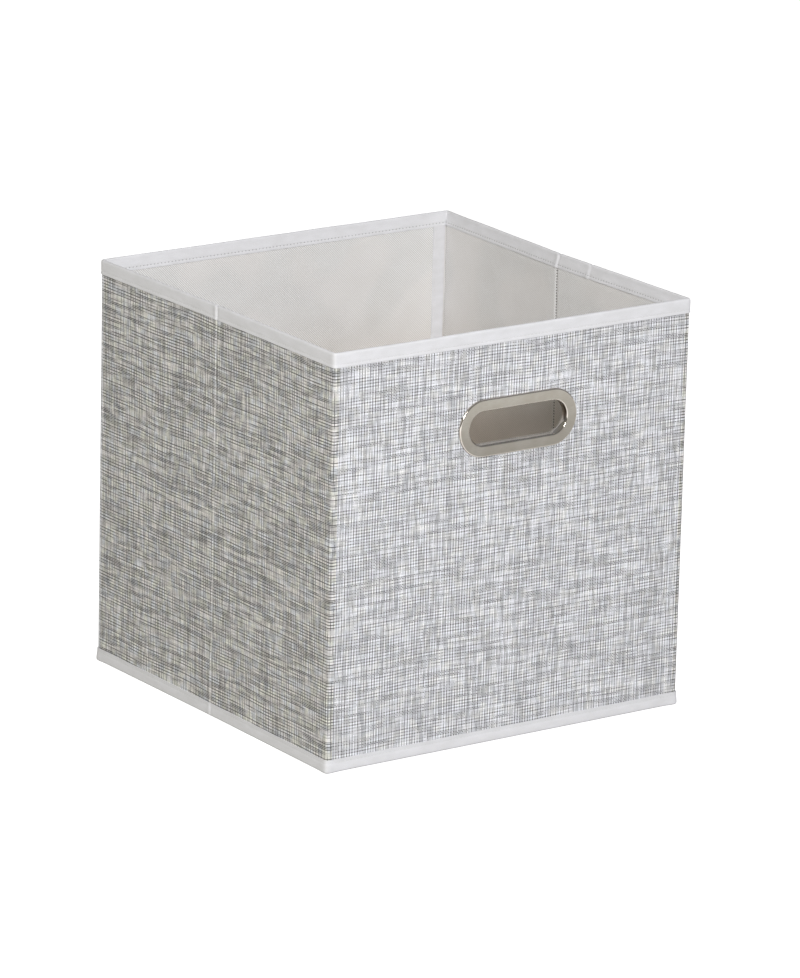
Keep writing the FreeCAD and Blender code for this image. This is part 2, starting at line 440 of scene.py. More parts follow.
def heathered_weave(name, dark_strengths, pale_strengths, tints, fold_line=None):
    """A plain weave of pale threads, every other one thin and dark, or white, for part of its length."""
    n = new_material(name)
    cloth = n.cloth_place()
    across, up = cloth
    u = across / THREAD_PITCH + n.patches(cloth, 15, 15) * THREAD_WANDER[0]
    v = up / THREAD_PITCH + n.patches(cloth, 20, 8, 4.0) * THREAD_WANDER[1]
    column, row = n.math("FLOOR", u), n.math("FLOOR", v)
    over = n.odd(column + row)
    under = 1.0 - over
    away_u, away_v = (n.math("ABSOLUTE", n.math("FRACT", place) - 0.5) for place in (u, v))
    wide_u, wide_v = (n.ramp(away, *THREAD_WIDE, 1.0, 0.0) for away in (away_u, away_v))
    thin_u, thin_v = (n.ramp(away, *THREAD_THIN, 1.0, 0.0) for away in (away_u, away_v))

    def thread(index, along, seed, flecks):
        """(body tone, how dark, how white) along one thread."""
        spot = (index, along)
        body = n.patches(spot, 13.37, 0.12, seed)
        dark = n.patches(spot, 7.713, flecks, seed + 20.4, detail=1.0, roughness=0.6)
        pale = n.patches(spot, 9.431, flecks * 1.3, seed + 40.4)
        own = n.patches(spot, 5.171, 0.006, seed + 60.4)
        odd = n.odd(index)
        dark = n.mix(OWN_SHARE, dark, own) + n.mix(odd, ALTERNATION, -ALTERNATION)
        pale = n.mix(OWN_SHARE, pale, 1.0 - own) + n.mix(odd, -ALTERNATION, ALTERNATION)
        return n.ramp(body, 0.3, 0.7, *THREAD_TONE), n.ramp(dark, *DARK_FROM_TO), n.ramp(pale, *PALE_FROM_TO)

    warp, warp_dark, warp_pale = thread(column, v, 1.0, WARP_FLECKS)
    weft, weft_dark, weft_pale = thread(row, u, 11.0, WEFT_FLECKS)
    crown = wide_u * wide_v
    # Painted shade and highlight: the crown term darkens the gaps between threads and lightens the middle of
    # each crossing.
    tone = n.mix(n.ramp(over, 0.0, 1.0, 0.2, 0.8), weft, warp) * (crown * 0.22 + 0.85)

    weft_top, weft_crossed, warp_top, warp_crossed = pale_strengths
    warp_white = warp_pale * wide_u * n.mix(over, warp_crossed, warp_top)
    weft_white = weft_pale * wide_v * n.mix(under, weft_crossed, weft_top)
    tone = n.mix(n.math("MAXIMUM", warp_white, weft_white), tone, 1.0)

    weft_top, weft_crossed, warp_top, warp_crossed = dark_strengths
    tone = tone * (1.0 - weft_dark * thin_v * n.mix(under * wide_u, weft_crossed, weft_top))
    tone = tone * (1.0 - warp_dark * thin_u * n.mix(over * wide_v, warp_crossed, warp_top))
    tone = tone * n.ramp(n.patches(cloth, 55, 55, 3.0, detail=1.0), 0.3, 0.7, 0.98, 1.02)
    if fold_line is not None:
        rubbed = n.ramp(n.noise(n.vector(0.3, up * 120, 14.0)), 0.3, 0.6, 0.05, 0.5)
        tone = n.mix(n.bell((across - fold_line) / (1.1 * MM)) * rubbed, tone, 0.70)

    streak = n.ramp(n.patches((column, row), 0.21, 0.13, 60.0), 0.35, 0.65)
    patch = n.ramp(n.patches((column, row), 0.09, 0.17, 9.0), 0.42, 0.62)
    tint = n.blend(patch * 0.6, n.blend(streak, tints[0], tints[1]), tints[2])
    color = n.blend(1.0, n.grey(tone), tint, "MULTIPLY")
    normal = n.bump(crown * n.mix(over, 0.6, 1.0), 0.12 * MM, 0.6)
    rough = n.ramp(n.math("MAXIMUM", warp_dark, weft_dark), 0.0, 1.0, 0.8, 0.92)
    return n.shader(color, Normal=normal, Roughness=rough, Specular_IOR_Level=0.22, Sheen_Weight=0.05)


def nonwoven(name, light, dark, pitch, fold_lines=(), painted_low_shade=None):
    """Spunbonded cloth, embossed with two sets of fine diagonal lines and cloudy with fibres.

    fold_lines are the stitched lines up a lining, and the last argument is a painted shade, a tint that
    darkens the lining towards the bottom of the bin.
    """
    n = new_material(name)
    cloth = n.cloth_place()
    across, up = cloth
    emboss = n.sine(across + up, pitch) * 0.62 + n.sine(across - up, pitch) * 0.38
    fibres = n.patches(cloth, 1500, 900, 2.0, detail=2.0)
    cloud = n.patches(cloth, 45, 45, 5.0, detail=2.0)
    blotch = n.ramp(n.patches(cloth, 22, 22, 7.0), 0.42, 0.62)
    color = n.blend(n.ramp(emboss * 0.62 + fibres * 0.6 + cloud * 0.3, 0.0, 0.95), dark, light)
    color = n.blend(blotch * 0.25, color, scaled(light, 0.98, 0.93, 0.90))
    if painted_low_shade is not None:
        # Painted shade: the lining turns darker and browner towards the bottom of the bin, standing in for
        # the dimmer light deep inside.
        shade_height = up + (blotch - 0.5) * (12 * MM)
        color = n.blend(n.ramp(shade_height, 120 * MM, 250 * MM, 1.0, 0.0), color, painted_low_shade, "MULTIPLY")
    height = emboss * 0.8 + fibres * 0.5
    for line in fold_lines:
        away = (across - line) / (0.55 * MM)
        beat = (n.math("FRACT", up / CREASE_PITCH) - 0.5) * (CREASE_PITCH / (0.5 * MM))
        hole = n.ramp(n.distance(away, beat), 0.85, 1.4, 1.0, 0.0)
        # Painted highlight: a paler band beside each stitched line, where the groove's slope faces the light.
        painted_light_band = n.bell(away + 2.6, 0.5)
        color = n.blend(painted_light_band * 0.3, color, tuple(min(c * 1.22, 0.9) for c in light))
        color = n.blend(hole * 0.95, color, scaled(dark, 0.12, 0.12, 0.12))
        height = height - hole * 2.0
    normal = n.bump(height, 0.09 * MM, 0.8)
    rough = n.ramp(cloud, 0.3, 0.7, 0.82, 0.95)
    return n.shader(color, Normal=normal, Roughness=rough, Specular_IOR_Level=0.2, Sheen_Weight=0.05)


def tape_cloth():
    """White binding tape: fine fibres, a faint diamond emboss and needle holes at each stitch."""
    n = new_material("white_tape")
    cloth = n.cloth_place()
    across, up = cloth
    fibres = n.patches(cloth, 1900, 2400, 1.0, detail=2.0)
    cloud = n.patches(cloth, 70, 160, 4.0, detail=2.0)
    diamonds = n.sine(across + up, 0.9 * MM) * n.sine(across - up, 0.9 * MM)
    amount = fibres * 0.7 + cloud * 0.6 + diamonds * 0.10
    color = n.blend(n.ramp(amount, 0.4, 0.95), (0.68, 0.68, 0.695), (0.79, 0.79, 0.82))
    beat = n.math("FRACT", across / STITCH_PITCH + 0.5)
    along = (beat - 0.5) * (STITCH_PITCH / (0.50 * MM))
    away = (n.math("ABSOLUTE", up) - STITCH_UP) / (0.42 * MM)
    hole = n.ramp(n.distance(along, away), 0.6, 1.3, 1.0, 0.0) * n.ramp(up, -0.1 * MM, 0.1 * MM, 0.55, 0.06)
    color = n.blend(hole, color, (0.16, 0.16, 0.16))
    normal = n.bump(fibres * 0.8 + diamonds * 0.3 - hole * 1.5, 0.06 * MM, 0.7)
    rough = n.ramp(cloud, 0.3, 0.7, 0.75, 0.9)
    return n.shader(color, Normal=normal, Roughness=rough, Specular_IOR_Level=0.25, Sheen_Weight=0.06)


def thread_cotton():
    """Sewing thread, with its ply showing as slanted lines."""
    n = new_material("sewing_thread")
    where = n.object_place()
    x, y, z = n.split(where)
    ply = n.sine(x + y + z * 1.6, 0.35 * MM)
    fuzz = n.noise(where, scale=3000, detail=1.0)
    color = n.blend(n.ramp(ply * 0.3 + fuzz, 0.2, 0.9), (0.66, 0.66, 0.66), (0.84, 0.84, 0.83))
    return n.shader(color, Normal=n.bump(ply, 0.05 * MM, 0.6), Roughness=n.ramp(fuzz, 0.3, 0.7, 0.6, 0.8))


def chipboard():
    """Pressed grey-brown board, flecked with fibres and rubbed paler in patches."""
    n = new_material("pressed_board")
    where = n.object_place()
    flecks = n.noise(where, scale=1400, detail=3.0, roughness=0.7)
    clouds = n.noise(where, scale=60, detail=2.0)
    color = n.blend(n.ramp(flecks, 0.35, 0.7), (0.30, 0.24, 0.175), (0.52, 0.44, 0.34))
    color = n.blend(n.ramp(clouds, 0.4, 0.7) * 0.4, color, (0.47, 0.42, 0.36))
    rough = n.ramp(clouds, 0.3, 0.7, 0.82, 0.95)
    return n.shader(color, Normal=n.bump(flecks, 0.10 * MM, 0.6), Roughness=rough)


def nickel(name, color, shade, rough, grain):
    """Nickel plate with a painted reflection, darker towards the bottom of the flange. grain is how strongly
    the brushing shows.
    """
    n = new_material(name)
    where = n.object_place()
    x, y, z = n.split(where)
    lines = n.noise(n.vector(x * 260, y * 400, z * 5200), detail=2.0)
    smear = n.noise(where, scale=75, detail=2.0)
    tone = n.blend(n.ramp(smear, 0.35, 0.65), shade, color)
    tone = n.blend(n.ramp(lines, 0.4, 0.7) * grain, tone, scaled(shade, 0.86, 0.86, 0.86))
    # Painted reflection: the plate darkens towards the flange's lower edge, standing in for the darker
    # surroundings it would mirror there.
    painted_reflection_dim = n.ramp(z, HANDLE_Z - FLANGE_R, HANDLE_Z + FLANGE_R, 0.74, 1.0)
    tone = n.blend(1.0, tone, n.grey(painted_reflection_dim), "MULTIPLY")
    roughness = n.ramp(smear, 0.3, 0.7, rough, rough * 1.25) + lines * (grain * 0.12)
    return n.shader(tone, Normal=n.bump(lines, 0.004 * MM, grain), Metallic=1.0, Roughness=roughness)


# ---- how pieces are carried
def carry(obj, part, reach):
    """Attaches obj to the front body when its part is the front, and otherwise bakes its transform in place.
    reach, how far the cloth lies from a corner's fold axis, is not used.
    """
    side = -1 if part.startswith("left") else 1
    x = side * PIVOT_X
    if part == "front":
        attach(obj, part)
    elif part == "back":
        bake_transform(obj)
    elif part.endswith("front"):
        x + side * reach
        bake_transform(obj)
    else:
        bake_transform(obj)


def dress(obj, material, node):
    """Gives obj its only material, and hides the CAD node whose place it takes."""
    obj.data.materials.clear()
    obj.data.materials.append(material)
    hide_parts(node)


# ---- handle
def obround(radius, arc_steps=28, straight_steps=6):
    """(x, z) points round the handle's outline at that radius, anticlockwise from its right end."""
    half = HANDLE_STRAIGHT / 2
    points = []
    for end in (1, -1):
        for i in range(arc_steps + 1):
            a = math.pi * i / arc_steps - math.pi / 2
            x = HANDLE_X + end * (half + radius * math.cos(a))
            points.append((x, HANDLE_Z + end * radius * math.sin(a)))
        for i in range(1, straight_steps):
            x = HANDLE_X + end * (half - HANDLE_STRAIGHT * i / straight_steps)
            points.append((x, HANDLE_Z + end * radius))
    return points


def arc(centre_r, centre_y, radius, start, end, steps):
    """Section points (radius, y) on an arc, with angles in degrees from outward towards the front."""
    points = []
    for i in range(steps + 1):
        a = math.radians(start + (end - start) * i / steps)
        points.append((centre_r + radius * math.cos(a), centre_y - radius * math.sin(a)))
    return points


def obround_tube(name, section, polished):
    """Carries a closed section of (radius, y) round the outline. polished gives each side's material."""
    rings = [[Vector((x, y, z)) for x, z in obround(r)] for r, y in section]
    count, around = len(rings), len(rings[0])
    vertices = [p for ring in rings for p in ring]
    faces = []
    for i in range(count):
        for k in range(around):
            a, b = i * around, ((i + 1) % count) * around
            k2 = (k + 1) % around
            faces.append((a + k, b + k, b + k2, a + k2))
    obj = new_object(name, vertices, faces, sharp=50)
    for i in range(count):
        for k in range(around):
            obj.data.polygons[i * around + k].material_index = 1 if polished(i) else 0
    return obj


def build_handle(satin, polish):
    face, seat, end = bezel_low.y, -HALF_D, bezel_high.y
    tube = OPENING_R + COLLAR
    lip = arc(OPENING_R + LIP_R, face + LIP_R, LIP_R, 180, 90, 10)
    flat = [(OPENING_R + 1.8 * MM, face + 0.01 * MM), (OPENING_R + 3.6 * MM, face + 0.05 * MM),
            (FLANGE_R - 2.9 * MM, face + 0.05 * MM), (FLANGE_R - FLANGE_EDGE - 0.4 * MM, face + 0.02 * MM)]
    edge = arc(FLANGE_R - FLANGE_EDGE, face + FLANGE_EDGE + 0.02 * MM, FLANGE_EDGE, 88, 0, 8)
    back = [(FLANGE_R, seat - 0.05 * MM), (FLANGE_R - 0.3 * MM, seat - 0.01 * MM),
            (tube, seat - 0.01 * MM), (tube, end - 0.2 * MM), (tube - 0.2 * MM, end),
            (OPENING_R + 0.2 * MM, end), (OPENING_R, end - 0.25 * MM)]
    first_flat, last_flat = len(lip) - 4, len(lip) + len(flat) + 1
    bezel = obround_tube("handle_bezel_shell", lip + flat + edge + back,
                         lambda i: not first_flat <= i < last_flat)
    ring_r = (ring_high.z - ring_low.z) / 2
    chamfer = 0.15 * MM
    section = [(PUNCH_R, ring_low.y), (PUNCH_R, ring_high.y - chamfer), (PUNCH_R + chamfer, ring_high.y)]
    section += arc(ring_r - WASHER_EDGE, ring_high.y - WASHER_EDGE, WASHER_EDGE, -88, 0, 6)
    section += [(ring_r, ring_low.y)]
    washer = obround_tube("handle_back_washer", section, lambda i: 3 <= i <= 8)
    for obj, node in ((bezel, "handle_bezel"), (washer, "handle_back_ring")):
        obj.data.materials.append(satin)
        obj.data.materials.append(polish)
        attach(obj, "front")
        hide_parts(node)


def punch(obj):
    """Cuts the handle's obround hole through a front wall layer."""
    outline = obround(PUNCH_R, 16, 2)
    count = len(outline)
    vertices = [(x, y, z) for y in (-HALF_D - 10 * MM, -HALF_D + 10 * MM) for x, z in outline]
    faces = [tuple(range(count)), tuple(range(2 * count - 1, count - 1, -1))]
    faces += [(k, k + count, (k + 1) % count + count, (k + 1) % count) for k in range(count)]
    cutter = new_object("cutter", vertices, faces)
    boolean = obj.modifiers.new("punch", "BOOLEAN")
    boolean.operation = "DIFFERENCE"
    boolean.solver = "EXACT"
    boolean.object = cutter
    applied(obj)
    mesh = cutter.data
    bpy.data.objects.remove(cutter)
    bpy.data.meshes.remove(mesh)


# ---- wall layers
def wall_sheet(name, columns, rows, face, thickness, proud):
    """A wall layer whose outer face is at offset face. proud gives how far each of its faces bulges."""
    outer, inner, uvs = [], [], []
    for column in columns:
        lift_out, lift_in = [], []
        for z in rows:
            out, into = proud(column, z)
            lift_out.append(place(column, face + out, z))
            lift_in.append(place(column, face - thickness - into, z))
        outer.append(lift_out)
        inner.append(lift_in)
        uvs.append([(column[4], z) for z in rows])
    return closed_sheet(name, outer, inner, uvs)


def outer_proud(column, z):
    """The laminated outer fabric ripples a little, and has a shallow valley between two soft ridges."""
    s, side = column[4], on_side(column)
    out = 0.10 * hills(s, z * 0.6, 0.045, 1.0) + 0.05 * hills(s, z, 0.016, 2.0) + 0.08
    if side:
        away = (column[1] - FOLD_Y[side]) / MM
        out += 0.30 * hump(away, 2.6) - 0.62 * hump(away, 0.75)
    return MM * out, 0.0


def lining_proud(column, z):
    """The lining is looser, and pulls in along the crease's stitches."""
    s, side = column[4], on_side(column)
    ripple = 0.28 * hills(s, z * 0.5, 0.06, 5.0) + 0.08 * hills(s, z, 0.02, 6.0) + 0.25
    if side:
        ripple -= 0.5 * hump((column[1] - FOLD_Y[side]) / MM, 1.3)
    pinch = pinched(z)
    return pinch, MM * max(ripple, -0.2) - pinch


PARTS = ("front", "back", "left_front", "left_back", "right_front", "right_back")


def build_walls(weaves, lining_cloth, board):
    fine, coarse = stations(4 * MM), stations(5 * MM)
    rows, coarse_rows = (spread(CLOTH_LOW, CLOTH_HIGH, step) for step in (4 * MM, 5 * MM))
    for part in PARTS:
        outer = wall_sheet(part + "_outer_cloth", fine[part], rows, 0, FABRIC, outer_proud)
        lining = wall_sheet(part + "_lining_cloth", coarse[part], coarse_rows, LINING - WALL, LINING,
                            lining_proud)
        if part == "front":
            punch(outer)
            punch(lining)
        dress(outer, weaves[part.split("_")[0]], part + "_outer_fabric")
        dress(lining, lining_cloth, part + "_lining")
        for obj, reach in ((outer, CORNER_R), (lining, CORNER_R - WALL + LINING / 2)):
            carry(obj, part, reach)
            run_length(fine[part])
        build_board(part, board)


def build_board(part, board):
    """The stiffening board inside a wall, between its CAD ends, following the wall's lean."""
    low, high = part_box(part + "_board")
    step = 12 * MM
    side = -1 if part == "front" or part.startswith("left") else 1
    if "_" in part:
        columns = [(side * HALF_W, y, side, 0.0, y) for y in spread(low.y, high.y, step)]
    else:
        setback = 0.6 * MM
        columns = [(x, side * HALF_D, 0.0, side, x) for x in spread(low.x + setback, high.x - setback, step)]
    rows = spread(low.z, min(high.z, RIM_TAPE_LOW + 1.5 * MM), step)
    outer, inner = ([[place(c, face, z) for z in rows] for c in columns] for face in (-FABRIC, LINING - WALL))
    obj = closed_sheet(part + "_stiffener", outer, inner, [[(c[4], z) for z in rows] for c in columns])
    if part == "front":
        punch(obj)
    dress(obj, board, part + "_board")
    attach(obj, part)


# ---- binding tapes
def tape_line(zs, turn_z, way, radius, pinch, steps):
    """A tape's centreline: over the outside at zs, round the wall's edge, and back over the inside.

    way is 1 for the rim and -1 for the hem, and turn_z is the height of the two rolls' centres. Each point
    is (offset, z, outward offset, outward z, length so far).
    """
    out, into = TAPE / 2, -WALL - TAPE / 2
    line = [(out, z, 1.0, 0.0) for z in zs]
    for centre, start in ((out - radius, 0), (into + pinch + radius, 90)):
        for i in range(steps + 1):
            a = math.radians(way * (start + 90 * i / steps))
            no, nz = math.cos(a), math.sin(a)
            line.append((centre + radius * no, turn_z + radius * nz, no, nz))
    line += [(into + pinched(z), z, -1.0, 0.0) for z in reversed(zs)]
    made, length = [], 0.0
    for point, last in zip(line, [line[0]] + line):
        length += math.hypot(point[0] - last[0], point[1] - last[1])
        made.append(point + (length,))
    return made


def seam_dent(length, total):
    """How deep a tape is pulled in by the seam near each of its edges, at that length across it."""
    return 0.13 * MM * sum(hump(length - seam, 0.55 * MM) for seam in (STITCH_UP, total - STITCH_UP))


def pucker(column):
    """(outward, up) bumps in the rim tape where a side wall's crease runs into it."""
    side = on_side(column)
    if not side:
        return 0.0, 0.0
    folds = [(FOLD_Y[side], 1.0)]
    if side > 0:
        folds.append((SECOND_CREASE_Y, 0.8))
    out = up = 0.0
    for fold, size in folds:
        away = (column[1] - fold) / MM
        out += size * (0.55 * hump(away - 1.0, 2.2) - 0.45 * hump(away + 1.4, 1.1))
        up -= size * 0.75 * hump(away, 1.3)
    return out * MM, up * MM


def rim_shape(column, point, edge):
    """Extra (outward from the tape's face, up) for a point of the rim tape, edge from its nearer edge."""
    s = column[4]
    no, nz, length = point[2:]
    lift = MM * (0.16 + 0.14 * hills(s, 0.0 if no > 0 else 0.5, 0.018, 8.0)) * math.exp(-edge / (1.6 * MM))
    body = MM * (0.10 * hills(s, length, 0.030, 9.0) + 0.04 * hills(s, length, 0.008, 10.0))
    fold, dip = pucker(column)
    top = max(0.0, nz)
    wave = MM * 0.22 * hills(s, 0.0, 0.05, 12.0) * top
    return lift + body + fold * (1 - top), dip * top + wave


def near_corner(column):
    """1 at an upright corner of the bin, falling to 0 a little way along either wall."""
    reach = 12 * MM
    along_x = max(0.0, 1 - abs(abs(column[0]) - HALF_W) / reach)
    return along_x * max(0.0, 1 - abs(abs(column[1]) - HALF_D) / reach)


def hem_shape(column, point, edge):
    """The same for the hem tape, which bulges towards the floor, and most at the corners."""
    s = column[4]
    z, no, nz, length = point[1:]
    lift = MM * (0.14 + 0.12 * hills(s, 0.0 if no > 0 else 0.5, 0.02, 18.0)) * math.exp(-edge / (1.6 * MM))
    body = MM * (0.12 * hills(s, length, 0.035, 19.0) + 0.05 * hills(s, length, 0.009, 20.0))
    low = 1 - min(1.0, z / HEM_TOP)
    bulge = MM * (0.30 + 0.75 * near_corner(column)) * low * max(0.0, no)
    fold = pucker(column)[0] * 0.6
    return lift + bulge + (body + fold) * (1 - abs(nz)), 0.0


def tape_sheet(name, columns, line, shape):
    """A tape along the columns. Its UV has the distance from the near edge, negative on the inside."""
    outer, inner, uvs = [], [], []
    total, half = line[-1][4], TAPE / 2
    for column in columns:
        faces, backs, places = [], [], []
        for point in line:
            offset, z, no, nz, length = point
            out, up = shape(column, point, min(length, total - length))
            face, back = half + out - seam_dent(length, total), half - out
            faces.append(place(column, offset + no * face, z + nz * face + up))
            backs.append(place(column, offset - no * back, z - nz * back + up))
            places.append((column[4], length if 2 * length < total else length - total))
        for p in faces + backs:
            p.z = max(p.z, 0.0)
        outer.append(faces)
        inner.append(backs)
        uvs.append(places)
    return closed_sheet(name, outer, inner, uvs, sharp=55)


def hem_columns(all_columns, part):
    """The front and back hems wrap both corners. A side hem runs from the crease past its CAD end."""
    if part == "back":
        return all_columns["back"]
    if part == "front":
        right, left = ([c for c in all_columns[side] if abs(c[2]) < 0.9999 or c[1] <= -PIVOT_Y + 1e-6]
                       for side in ("right_front", "left_front"))
        return right + all_columns["front"][1:-1] + left
    side, end = part.split("_")
    low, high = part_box(part + "_bottom_binding")
    gap, past, clear = 0.02 * MM, 0.08 * MM, 0.2 * MM
    low_y, high_y = (low.y - past, -gap) if end == "front" else (gap, high.y + past)
    run = {c for c in all_columns[side + "_back"] + all_columns[side + "_front"] if abs(c[2]) > 0.9999}
    columns = [c for c in sorted(run, key=lambda c: c[1]) if low_y + clear < c[1] < high_y - clear]
    x, y, nx, ny, s = columns[0]
    slope = -1 if side == "right" else 1
    ends = [(x, end_y, nx, 0.0, s + slope * (end_y - y)) for end_y in (low_y, high_y)]
    return [ends[0]] + columns + [ends[1]]


# ---- stitches
STITCH_SIDES = 6
# (place from -1 to 1 along a stitch, share of its full thickness there)
LEVEL_STITCH = ((-1, 0.25), (-0.7, 0.85), (0, 1.0), (0.7, 0.85), (1, 0.25))
UPRIGHT_STITCH = ((-1, 0.3), (-0.6, 0.9), (0, 1.0), (0.6, 0.9), (1, 0.3))


def clear_of_bend(column):
    """Moves a stitch's point out of the narrow band that turns at a crease."""
    clear = CREASE_BEND + 0.04 * MM
    if not on_side(column) or abs(column[1]) > clear:
        return column
    return (column[0], math.copysign(clear, column[1])) + tuple(column[2:])


def round_stitch():
    """(cosine, sine) round a stitch."""
    return [(math.cos(a), math.sin(a)) for a in (2 * math.pi * k / STITCH_SIDES for k in range(STITCH_SIDES))]


def stitch_object(name, vertices, thread):
    """Closes rings of vertices into stitches, each with a ring for every entry of LEVEL_STITCH."""
    sides, rings = STITCH_SIDES, len(LEVEL_STITCH)
    faces = []
    for first in range(0, len(vertices), sides * rings):
        last = first + sides * (rings - 1)
        faces.append(tuple(range(first, first + sides)))
        faces.append(tuple(range(last + sides - 1, last - 1, -1)))
        for ring in range(first, last, sides):
            for k in range(sides):
                a, b = ring + k, ring + (k + 1) % sides
                faces.append((a, a + sides, b + sides, b))
    obj = new_object(name, vertices, faces, sharp=60)
    obj.data.materials.append(thread)
    return obj


def stitches(name, columns, rows, thread):
    """Rows of lockstitches. Each row is (offset, z, outward sign)."""
    vertices = []
    ordered = columns if columns[0][4] < columns[-1][4] else columns[::-1]
    margin = 0.3 * MM
    first_beat = math.ceil((ordered[0][4] + margin) / STITCH_PITCH)
    last_beat = math.floor((ordered[-1][4] - margin) / STITCH_PITCH)
    for offset, z, sign in rows:
        for beat in range(first_beat, last_beat):
            s = (beat + 0.5) * STITCH_PITCH
            half_length = 1.12 * MM * (1 + 0.08 * hills(s, z, 0.004, 30.0))
            tilt = 0.10 * MM * hills(s, z, 0.003, 31.0)
            for t, swell in LEVEL_STITCH:
                column = clear_of_bend(station_at(ordered, s + t * half_length))
                dive = SUNK_SEAM if abs(t) == 1 else 0.0
                for out, up in round_stitch():
                    out = sign * (0.17 * MM * swell * out - dive)
                    vertices.append(place(column, offset + out, z + 0.24 * MM * swell * up + tilt * t))
    return stitch_object(name, vertices, thread)


def upright_stitches(name, where, thread):
    """One column of stitches from hem to rim. where(z) gives (point, outward direction)."""
    vertices = []
    z = (math.floor((HEM_TOP + 1.5 * MM) / CREASE_PITCH) + 1) * CREASE_PITCH
    while z < RIM_TAPE_LOW - CREASE_PITCH:
        for t, swell in UPRIGHT_STITCH:
            point, outward = where(z + t * 0.52 * MM)
            across = Vector((-outward.y, outward.x, 0))
            for out, aside in round_stitch():
                bulge = outward * (0.14 * MM * swell * out)
                vertices.append(point + bulge + across * (0.15 * MM * swell * aside))
        z += CREASE_PITCH
    return stitch_object(name, vertices, thread)


def build_tapes(tape, thread):
    columns = stations(2.5 * MM)
    ups = [RIM_TAPE_LOW + z * MM for z in (0, 0.5, 1.0, 1.5, 1.9, 2.3, 2.7, 3.1, 3.8, 5.0, 6.5, 7.6)]
    downs = [HEM_TOP - z * MM for z in (0, 0.5, 1.0, 1.5, 1.9, 2.3, 2.7, 3.1, 4.2, 5.6)]
    rim = tape_line(ups, RIM - RIM_SAG - TAPE / 2 - TAPE_ROLL, 1, TAPE_ROLL, PINCH, 6)
    hem = tape_line(downs, TAPE / 2 + HEM_ROLL, -1, HEM_ROLL, 0, 5)
    outside, inside = TAPE - SUNK_SEAM, -WALL - TAPE + SUNK_SEAM
    rim_seam, hem_seam = RIM_TAPE_LOW + STITCH_UP, HEM_TOP - STITCH_UP
    rim_seams = [(outside, rim_seam, 1), (inside + pinched(rim_seam), rim_seam, -1)]
    hem_seams = [(outside, hem_seam, 1), (inside, hem_seam, -1)]
    reach = 0.8 * MM
    for part in PARTS:
        obj = tape_sheet(part + "_rim_tape", columns[part], rim, rim_shape)
        dress(obj, tape, part + "_top_binding")
        run_length(columns[part])
        seam = stitches(part + "_rim_stitches", columns[part], rim_seams, thread)
        carry(obj, part, reach)
        carry(seam, part, reach)

        run = hem_columns(columns, part)
        obj = tape_sheet(part + "_hem_tape", run, hem, hem_shape)
        dress(obj, tape, part + "_bottom_binding")
        run_length(run)
        seam = stitches(part + "_hem_stitches", run, hem_seams, thread)
        for piece in (obj, seam):
            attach(piece, part)
            if part != "front":
                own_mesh(piece)


def build_crease_stitches(thread):
    for side, name in ((1, "right"), (-1, "left")):
        def where(z, side=side):
            column = (side * HALF_W, FOLD_Y[side], side, 0.0, 0.0)
            return place(column, -WALL + SUNK_SEAM, z), Vector((-side, 0, 0))
        carry(upright_stitches(name + "_crease_stitches", where, thread), name + "_back", 0.0)


def build_seam_tape(tape, thread):
    low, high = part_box("back_corner_seam_tape")
    high.x -= SEAM_TAPE_CUT
    seam_x = low.x + 2.0 * MM
    up = spread(low.z - 1.0 * MM, high.z + 1.0 * MM, 5 * MM)
    outer, inner, uvs = [], [], []
    for x in spread(low.x, high.x, 1.0 * MM):
        edge = min(x - low.x, high.x - x) / MM
        dent = 0.22 * math.exp(-((x - low.x) / MM - 2.0) ** 2 / 0.4)
        face, back = [], []
        for z in up:
            puff = 0.18 * min(1.0, edge / 2.0) + 0.10 * hills(x, z, 0.03, 40.0) - dent
            sway = 0.25 * MM * hills(0.0, z, 0.06, 41.0) * (1 - (x - low.x) / (high.x - low.x))
            face.append(Vector((x + sway, low.y - 0.25 * MM - puff * MM, z)))
            back.append(Vector((x + sway, high.y - 0.35 * MM, z)))
        outer.append(face)
        inner.append(back)
        uvs.append([(x, z) for z in up])
    obj = closed_sheet("back_corner_tape", outer, inner, uvs)
    dress(obj, tape, "back_corner_seam_tape")
    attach(obj, "back")

    def where(z):
        return Vector((seam_x, low.y - 0.30 * MM, z)), Vector((0, -1, 0))
    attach(upright_stitches("back_corner_stitches", where, thread), "back")


# ---- base and insert
CORNERS = ((1, 1), (-1, 1), (-1, -1), (1, -1))
CORNER_PARTS = 8
EDGE_PARTS = 24
INSETS = [i * MM for i in (0, 0.5, 1.5, 4, 9, 18, 30, 45, 62, 80, 100, 120, 138)]


def rounded_ring(half_x, half_y, radius):
    """A closed ring of points on a rounded rectangle."""
    hx, hy = half_x - radius, half_y - radius
    ring = []
    for i, (sx, sy) in enumerate(CORNERS):
        for k in range(CORNER_PARTS + 1):
            a = math.radians(90 * i + 90 * k / CORNER_PARTS)
            ring.append((sx * hx + radius * math.cos(a), sy * hy + radius * math.sin(a)))
        x0, y0 = ring[-1]
        next_sx, next_sy = CORNERS[(i + 1) % 4]
        x1, y1 = next_sx * hx + radius * math.cos(a), next_sy * hy + radius * math.sin(a)
        for t in (k / EDGE_PARTS for k in range(1, EDGE_PARTS)):
            ring.append((x0 + (x1 - x0) * t, y0 + (y1 - y0) * t))
    return ring


